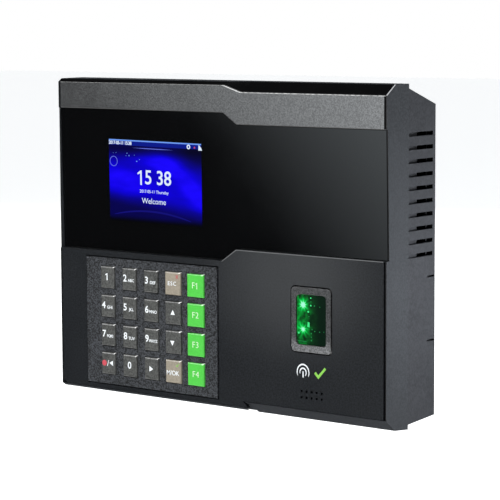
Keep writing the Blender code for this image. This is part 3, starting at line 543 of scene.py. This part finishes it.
NODE_FINISH = {
    "front_housing": BEZEL, "rear_housing": CASE, "top_trim_strip": STRIP,
    "display_window": WINDOW, "lower_front_panel": PANEL, "keypad_plate": PLATE,
    "keypad_membrane": RUBBER, "keypad_board": BOARD, "lcd_panel": LCD, "lcd_tray": DARK,
    "sensor_frame": FRAME, "sensor_glass": READER, "sensor_module": DARK,
    "sensor_led_upper": LAMP, "sensor_led_lower": LAMP, "main_board": BOARD,
    "battery_pack": BATTERY, "speaker": DARK, "ethernet_socket": STEEL,
    "usb_socket": STEEL, "power_socket": DARK, "terminal_block": GREEN_BLOCK,
    "tamper_switch": DARK, "tamper_plunger": RUBBER, "wall_bracket": STEEL,
}
TAUPE_KEYS = ("key_esc", "key_menu_ok")


def dress_nodes():
    for name, node in frame["nodes"].items():
        if name in TAUPE_KEYS:
            surface = KEY_TAUPE.material
        elif name.startswith("key_f"):
            surface = KEY_GREEN.material
        elif name.startswith("key_"):
            surface = KEY_GREY.material
        else:
            surface = NODE_FINISH.get(name, STEEL)
        node.data.materials.clear()
        node.data.materials.append(surface)


# Edge radius in mm that each node shows, and the corner angle from which it applies.
EDGES = {
    "display_window": (0.2, 60), "keypad_plate": (0.2, 60),
    "sensor_glass": (0.15, 60), "wall_bracket": (0.2, 60), "ethernet_socket": (0.3, 60),
    "usb_socket": (0.2, 60), "power_socket": (0.3, 60), "terminal_block": (0.25, 60),
    "rear_housing": (0.2, 50),
}


def round_edges():
    for name, (width, angle) in EDGES.items():
        edge = frame["nodes"][name].modifiers.new("edge_radius", "BEVEL")
        edge.width = width * MM
        edge.segments = 2
        edge.limit_method = "ANGLE"
        edge.angle_limit = math.radians(angle)


SHARP = math.radians(40)


def light_picked_edges(name, width, chosen, surface):
    """Round and light the sharp edges whose two ends are chosen by their world position."""
    node = frame["nodes"][name]
    work = bmesh.new()
    work.from_mesh(node.data)
    weights = node.data.attributes.new("bevel_weight_edge", "FLOAT", "EDGE")
    for edge, weight in zip(work.edges, weights.data):
        sharp = len(edge.link_faces) == 1 or SHARP < edge.calc_face_angle(0)
        ends = [node.matrix_world @ vertex.co for vertex in edge.verts]
        weight.value = 1.0 if sharp and all(chosen(end) for end in ends) else 0.0
    work.free()
    node.modifiers.new("joined_faces", "WELD").merge_threshold = 0.001 * MM
    rounding = node.modifiers.new("picked_edges", "BEVEL")
    rounding.width = width * MM
    rounding.segments = 2
    rounding.limit_method = "WEIGHT"
    rounding.use_clamp_overlap = False
    node.data.materials.append(surface)
    rounding.material = len(node.data.materials) - 1


def light_case_corner():
    """The bright line where the top chamfer meets the right side."""
    low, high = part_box("front_housing")

    def right_corner(point):
        return (high.x - 0.1 * MM < point.x and point.y < low.y + 8 * MM
                and high.z - 7 * MM < point.z)

    light_picked_edges("front_housing", 0.3, right_corner, GLINT)


# ---- flat graphics: drawn in mm, x to the right, y up and z towards the viewer --------------
def text(words, height, x, y, bold=0.0, spacing=1.0):
    curve = bpy.data.curves.new("words", "FONT")
    curve.body = words
    curve.size = height / CAPITAL
    curve.align_x, curve.align_y = "CENTER", "CENTER"
    curve.offset = bold
    curve.space_character = spacing
    curve.extrude = SKIN / 2
    curve.resolution_u = 4
    source = bpy.data.objects.new("words", curve)
    bpy.context.scene.collection.objects.link(source)
    graph = bpy.context.evaluated_depsgraph_get()
    mesh = bpy.data.meshes.new_from_object(source.evaluated_get(graph))
    bpy.data.objects.remove(source, do_unlink=True)
    mesh.transform(Matrix.Translation((x, y, SKIN / 2)))
    return mesh


def slab(outline, base=0.0):
    count = len(outline)
    points = [(x, y, z) for z in (base, base + SKIN) for x, y in outline]
    faces = [tuple(range(count))[::-1], tuple(range(count, 2 * count))]
    faces += [(i, (i + 1) % count, (i + 1) % count + count, i + count) for i in range(count)]
    mesh = bpy.data.meshes.new("slab")
    mesh.from_pydata(points, [], faces)
    return mesh


def bar(x0, y0, x1, y1):
    return slab([(x0, y0), (x1, y0), (x1, y1), (x0, y1)])


def one(height, x, y, weight):
    """The figure 1 with a flag, which the built-in letters draw as a plain stroke."""
    half, top = weight / 2, y + height / 2
    flag = height * 0.24
    return slab([(x - half, y - height / 2), (x + half, y - height / 2), (x + half, top),
                 (x - half * 0.4, top), (x - half - flag, top - flag * 0.75),
                 (x - half - flag, top - flag * 0.75 - weight * 0.8),
                 (x - half, top - flag * 0.85)])


def disc(x, y, radius, sides=20):
    turns = [2 * math.pi * i / sides for i in range(sides)]
    return slab([(x + radius * math.cos(t), y + radius * math.sin(t)) for t in turns])


def arc(x, y, radius, width, start, end, steps=24, squash=1.0):
    """Band of a circle or ellipse between two angles in degrees, tapered at its ends."""
    outer, inner = [], []
    for step in range(steps + 1):
        turn = math.radians(start + (end - start) * step / steps)
        half = width / 2 * max(0.25, math.sin(math.pi * step / steps) ** 0.35)
        for side, points in ((half, outer), (-half, inner)):
            reach = radius + side
            points.append((x + reach * math.cos(turn), y + squash * reach * math.sin(turn)))
    return slab(outer + inner[::-1])


def ring(x, y, radius, width, sides=28):
    turns = [2 * math.pi * i / sides for i in range(sides)]
    points = [(x + reach * math.cos(t), y + reach * math.sin(t), z)
              for z in (0.0, SKIN) for reach in (radius + width / 2, radius - width / 2)
              for t in turns]
    faces = []
    for i in range(sides):
        j = (i + 1) % sides
        for a, b in ((0, 1), (1, 3), (3, 2), (2, 0)):
            faces.append((a * sides + i, a * sides + j, b * sides + j, b * sides + i))
    mesh = bpy.data.meshes.new("ring")
    mesh.from_pydata(points, [], faces)
    return mesh


def graphic(name, meshes, place, surface, body):
    """Join flat meshes into one piece that rides on a body."""
    work = bmesh.new()
    for mesh in meshes:
        work.from_mesh(mesh)
        bpy.data.meshes.remove(mesh)
    bmesh.ops.remove_doubles(work, verts=work.verts, dist=0.0005)
    bmesh.ops.recalc_face_normals(work, faces=work.faces)
    whole = bpy.data.meshes.new(name)
    work.to_mesh(whole)
    work.free()
    whole.transform(Matrix.Scale(MM, 4))
    whole.materials.append(surface)
    piece = bpy.data.objects.new(name, whole)
    bpy.context.scene.collection.objects.link(piece)
    piece.matrix_world = place
    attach(piece, body)


FACING = Matrix.Rotation(math.radians(90), 4, "X")


def facing(x, y, z):
    """Place for a graphic on a surface that faces the viewer, in metres."""
    return Matrix.Translation((x, y - 0.01 * MM, z)) @ FACING


# ---- key legends ----------------------------------------------------------------------------
LETTERS = {"key_2": "ABC", "key_3": "DEF", "key_4": "GHI", "key_5": "JKL", "key_6": "MNO",
           "key_7": "PQRS", "key_8": "TUV", "key_9": "WXYZ"}


def arrow(turn, x=-0.4, y=0.0, size=1.55):
    corners = [math.radians(turn + 120 * i) for i in range(3)]
    return slab([(x + size * math.cos(c), y + size * math.sin(c)) for c in corners])


def key_legend(name):
    """White marks of a key, as meshes around the middle of its front."""
    if name in LETTERS:
        small = LETTERS[name]
        wide = 3 < len(small)
        return [text(name[-1], 3.4, -2.5, 0.35, 0.09),
                text(small, 1.35 if wide else 1.5, 1.35, -0.5, 0.04, 0.9 if wide else 1.0)]
    if name.startswith("key_f"):
        figure = one(3.0, 1.1, 0.0, 0.42) if name == "key_f1" else text(name[-1], 3.0, 1.1, 0.0)
        return [text("F", 3.0, -1.1, 0.0), figure]
    if name == "key_1":
        return [one(3.4, -0.2, 0.35, 0.62)]
    if name == "key_0":
        return [text("0", 3.4, -0.1, 0.25, 0.09)]
    if name == "key_esc":
        return [text("ESC", 2.0, -0.35, 0.0, 0.03, 1.28)]
    if name == "key_menu_ok":
        return [text("M/OK", 2.3, -0.2, -0.7, 0.02, 0.95)]
    if name == "key_power_back":
        return [arrow(180, 2.2, 0.3, 1.5), text("/", 3.0, -0.2, 0.0, 0.04)]
    if name == "key_up":
        return [arrow(90, 0.0)]
    return [arrow(270 if name == "key_down" else 0)]


def make_legends():
    for name, node in frame["nodes"].items():
        if not name.startswith("key_") or node.get("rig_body") == ROOT:
            continue
        low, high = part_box(name)
        place = facing((low.x + high.x) / 2, low.y, (low.z + high.z) / 2)
        slot = "key_green" if name.startswith("key_f") else (
            "key_taupe" if name in TAUPE_KEYS else "key_grey")
        paint = PALE_INK if slot == "key_green" else WHITE_INK
        graphic("legend_" + name[4:], key_legend(name), place, paint, name)
        if name == "key_power_back":
            graphic("power_dot", [disc(-2.5, 0.1, 1.45)], place, RED_INK, name)
        if name == "key_esc":
            # The second stroke lies a hair higher, so that the crossing doesn't flicker.
            cross = [slab([(1.9, 2.6), (2.3, 2.6), (3.5, 4.2), (3.1, 4.2)]),
                     slab([(3.1, 2.6), (3.5, 2.6), (2.3, 4.2), (1.9, 4.2)], base=0.01)]
            graphic("cancel_cross", cross, place, RED_INK, name)
        if name == "key_menu_ok":
            tick = [slab([(1.7, 3.0), (2.1, 3.4), (2.5, 2.9), (3.5, 4.3), (3.7, 4.1),
                          (2.55, 2.35)])]
            graphic("accept_tick", tick, place, GREEN_INK, name)


# ---- display picture ------------------------------------------------------------------------
WINDOW_LEAN = math.atan(1.3 / 60.0)     # the window leans back by 1.3 mm in 60
PICTURE_CENTRE = (-36.6 * MM, 28.1 * MM)
PICTURE_SIZE = (57.0, 39.0)         # mm
BAR_LIGHT = 0.6                     # height in mm of the pale line on the status bar
PICTURE_TURN = math.radians(0.55)   # the display sits a little askew behind its window
LIFT = SKIN * 1.25                  # graphics lie this far in front of the picture, in mm


def window_place(x, z, lift):
    """Place on the leaning window at world x and z, lifted off its face by mm."""
    low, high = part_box("display_window")
    turn = Matrix.Rotation(WINDOW_LEAN, 4, "X")
    down = (high.z - z) / math.cos(WINDOW_LEAN)
    return (Matrix.Translation((0, low.y, high.z)) @ turn
            @ Matrix.Translation((x, -lift * MM, -down)) @ FACING
            @ Matrix.Rotation(-PICTURE_TURN, 4, "Z"))


def make_display():
    half_x, half_y = PICTURE_SIZE[0] / 2, PICTURE_SIZE[1] / 2
    back = window_place(*PICTURE_CENTRE, 0.01)
    front = window_place(*PICTURE_CENTRE, 0.01 + LIFT)
    top = window_place(*PICTURE_CENTRE, 0.01 + 2 * LIFT)

    def at(u, v):
        """Position in mm of a point given as shares of the width and height."""
        return (u - 0.5) * PICTURE_SIZE[0], (0.5 - v) * PICTURE_SIZE[1]

    def show(name, meshes, surface, place=front):
        graphic(name, meshes, place, surface, ROOT)

    show("screen_picture", [bar(-half_x, -half_y, half_x, half_y)], PICTURE, back)
    x0, y0 = at(0.0, 0.068)
    show("screen_bar", [bar(x0, y0, half_x, half_y - BAR_LIGHT)], SCREEN_BLUE)
    show("screen_bar_light", [bar(x0, half_y - BAR_LIGHT, half_x, half_y)], SCREEN_PALE)
    x0, y0 = at(0.26, 0.095)
    x1, _ = at(0.70, 0.095)
    show("screen_streak", [slab([(x0, y0 + 0.05), (x0 + 8, y0 - 0.16), (x1 - 8, y0 - 0.16),
                                 (x1, y0), (x1 - 8, y0 + 0.16), (x0 + 8, y0 + 0.18)])],
         SCREEN_HAZE)
    figures = 6.9
    show("screen_clock", [one(figures, *at(0.350, 0.452), 0.95),
                          text("5", figures, *at(0.43, 0.452), 0.1),
                          text("38", figures, *at(0.598, 0.452), 0.1)], SCREEN_WHITE)
    show("screen_date", [text("2017-05-11 Thursday", 1.55, *at(0.49, 0.618), 0.0, 0.97)],
         SCREEN_WHITE)
    show("screen_greeting", [text("Welcome", 2.75, *at(0.487, 0.735))], SCREEN_WHITE)
    show("screen_status_time", [text("2017-05-11 15:38", 1.65, *at(0.126, 0.042), 0.05, 0.9)],
         SCREEN_WHITE, top)
    ring_x, ring_y = at(0.05, 0.27)
    show("screen_ring", [ring(ring_x, ring_y, 2.3, 0.3)], SCREEN_HAZE)
    dots = [disc(*at(u, v), size, 8) for u, v, size in (
        (0.20, 0.165, 0.24), (0.222, 0.192, 0.3), (0.188, 0.195, 0.16), (0.28, 0.182, 0.15),
        (0.306, 0.256, 0.32), (0.336, 0.232, 0.2), (0.045, 0.168, 0.14),
        (0.078, 0.165, 0.14))]
    show("screen_dots", dots, SCREEN_PALE)
    icon_x, icon_y = at(0.868, 0.044)
    icons = [ring(icon_x, icon_y, 0.8, 0.6, 16),
             slab([(icon_x + 5.9, icon_y - 1.4), (icon_x + 8.1, icon_y - 1.4),
                   (icon_x + 7.6, icon_y - 0.2), (icon_x + 6.1, icon_y + 1.3)])]
    show("screen_icons", icons, SCREEN_WHITE, top)
    show("screen_alert", [disc(icon_x + 3.6, icon_y - 0.2, 0.5, 10)], SCREEN_RED, top)
    centre_x, _ = at(0.44, 0.0)
    show("screen_arc", [arc(centre_x, -112.0, 98.0, 0.9, 75, 103, 32)], SCREEN_ARC)


# ---- fingerprint reader ---------------------------------------------------------------------
def make_reader():
    low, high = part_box("sensor_glass")
    place = facing(low.x, low.y, high.z)

    def spots(rows):
        return [disc(x, -y, size, 8) for x, y, size in rows]

    graphic("reader_sparkles", spots([
        (7.6, 1.2, 0.36), (7.6, 4.6, 0.42), (6.2, 7.5, 0.5), (0.9, 17.4, 0.5)]) + [
        slab([(5.7, -14.3), (6.9, -14.5), (6.9, -12.3), (5.9, -12.2)])],
        place, SPARKLE, ROOT)
    graphic("reader_sparkles_dim", spots([
        (7.7, 2.9, 0.3), (9.6, 4.6, 0.36), (12.6, 4.9, 0.22), (6.6, 9.6, 0.26),
        (8.3, 15.4, 0.3), (9.8, 16.1, 0.3), (12.5, 16.2, 0.28), (7.9, 17.2, 0.36),
        (7.9, 18.9, 0.3), (7.9, 20.4, 0.34), (14.8, 16.0, 0.2), (2.4, 7.6, 0.3)]) + [
        bar(0.4, -21.2, 5.2, -20.9)], place, SPARKLE_DIM, ROOT)


SIGN_DROP = 8.8                     # mm from the reader's frame down to the sign


def make_glyph():
    """Generic sign under the reader: a fingerprint in white beside a green tick."""
    reader_low, reader_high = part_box("sensor_frame")
    panel_low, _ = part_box("lower_front_panel")
    middle = (reader_low.x + reader_high.x) / 2
    place = facing(middle, panel_low.y, reader_low.z - SIGN_DROP * MM)
    left, right = -4.6, 4.8
    white = [arc(left, -0.6, radius, 0.62, start, end, 20, 1.1) for radius, start, end in (
        (3.3, -28, 208), (1.75, -50, 200))]
    white.append(bar(left - 0.3, -2.9, left + 0.3, -0.1))
    green = [slab([(right - 3.2, -0.5), (right - 2.3, 0.4), (right - 0.9, -1.1),
                   (right + 2.6, 2.7), (right + 3.4, 1.9), (right - 0.9, -2.8)])]
    graphic("fingerprint_sign", white, place, WHITE_INK, ROOT)
    graphic("accept_sign", green, place, GREEN_INK, ROOT)


def make_panel_edge_highlight():
    """A painted highlight along the upper edge of the lower panel, which steps up near the
    middle.
    """
    low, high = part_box("lower_front_panel")
    right = high.x / MM - 0.3
    top, under = -0.05, -0.36       # mm from the panel's top edge
    # Painted highlight: a thin glowing line laid along the panel's top edge.
    line = slab([(4.9, -6.1), (4.9, -5.8), (13.2, top), (right, top), (right, under),
                 (13.4, under)])
    graphic("panel_edge_highlight", [line], facing(0, low.y, high.z), GLINT_SOFT, ROOT)


# ---- build ----------------------------------------------------------------------------------
bpy.context.scene.view_settings.view_transform = "Standard"
make_camera()
make_world()
make_floor()
add_light("key_light", (0.12, -0.36, 0.46), (0, 0, 0), (0.5, 0.25), 1.6)
add_light("rim_light", (-0.73, -0.84, 0.50), (0, 0, 0), (0.7, 0.09), 2.5)
add_light("side_light", (0.195, -0.012, -0.010), (0.09, -0.012, -0.010), (0.04, 0.04), 0.20,
          glossy=False)
add_light("back_fill", (-0.6, 1.2, 0.6), (0, 0, 0), (1.2, 1.0), 12.0, glossy=False)
add_light("left_fill", (-1.3, -0.2, 0.4), (0, 0, 0), (0.9, 0.9), 5.0, glossy=False)
dress_nodes()
round_edges()
light_case_corner()
make_panel_edge_highlight()
make_legends()
make_display()
make_reader()
make_glyph()

bpy.context.view_layer.update()
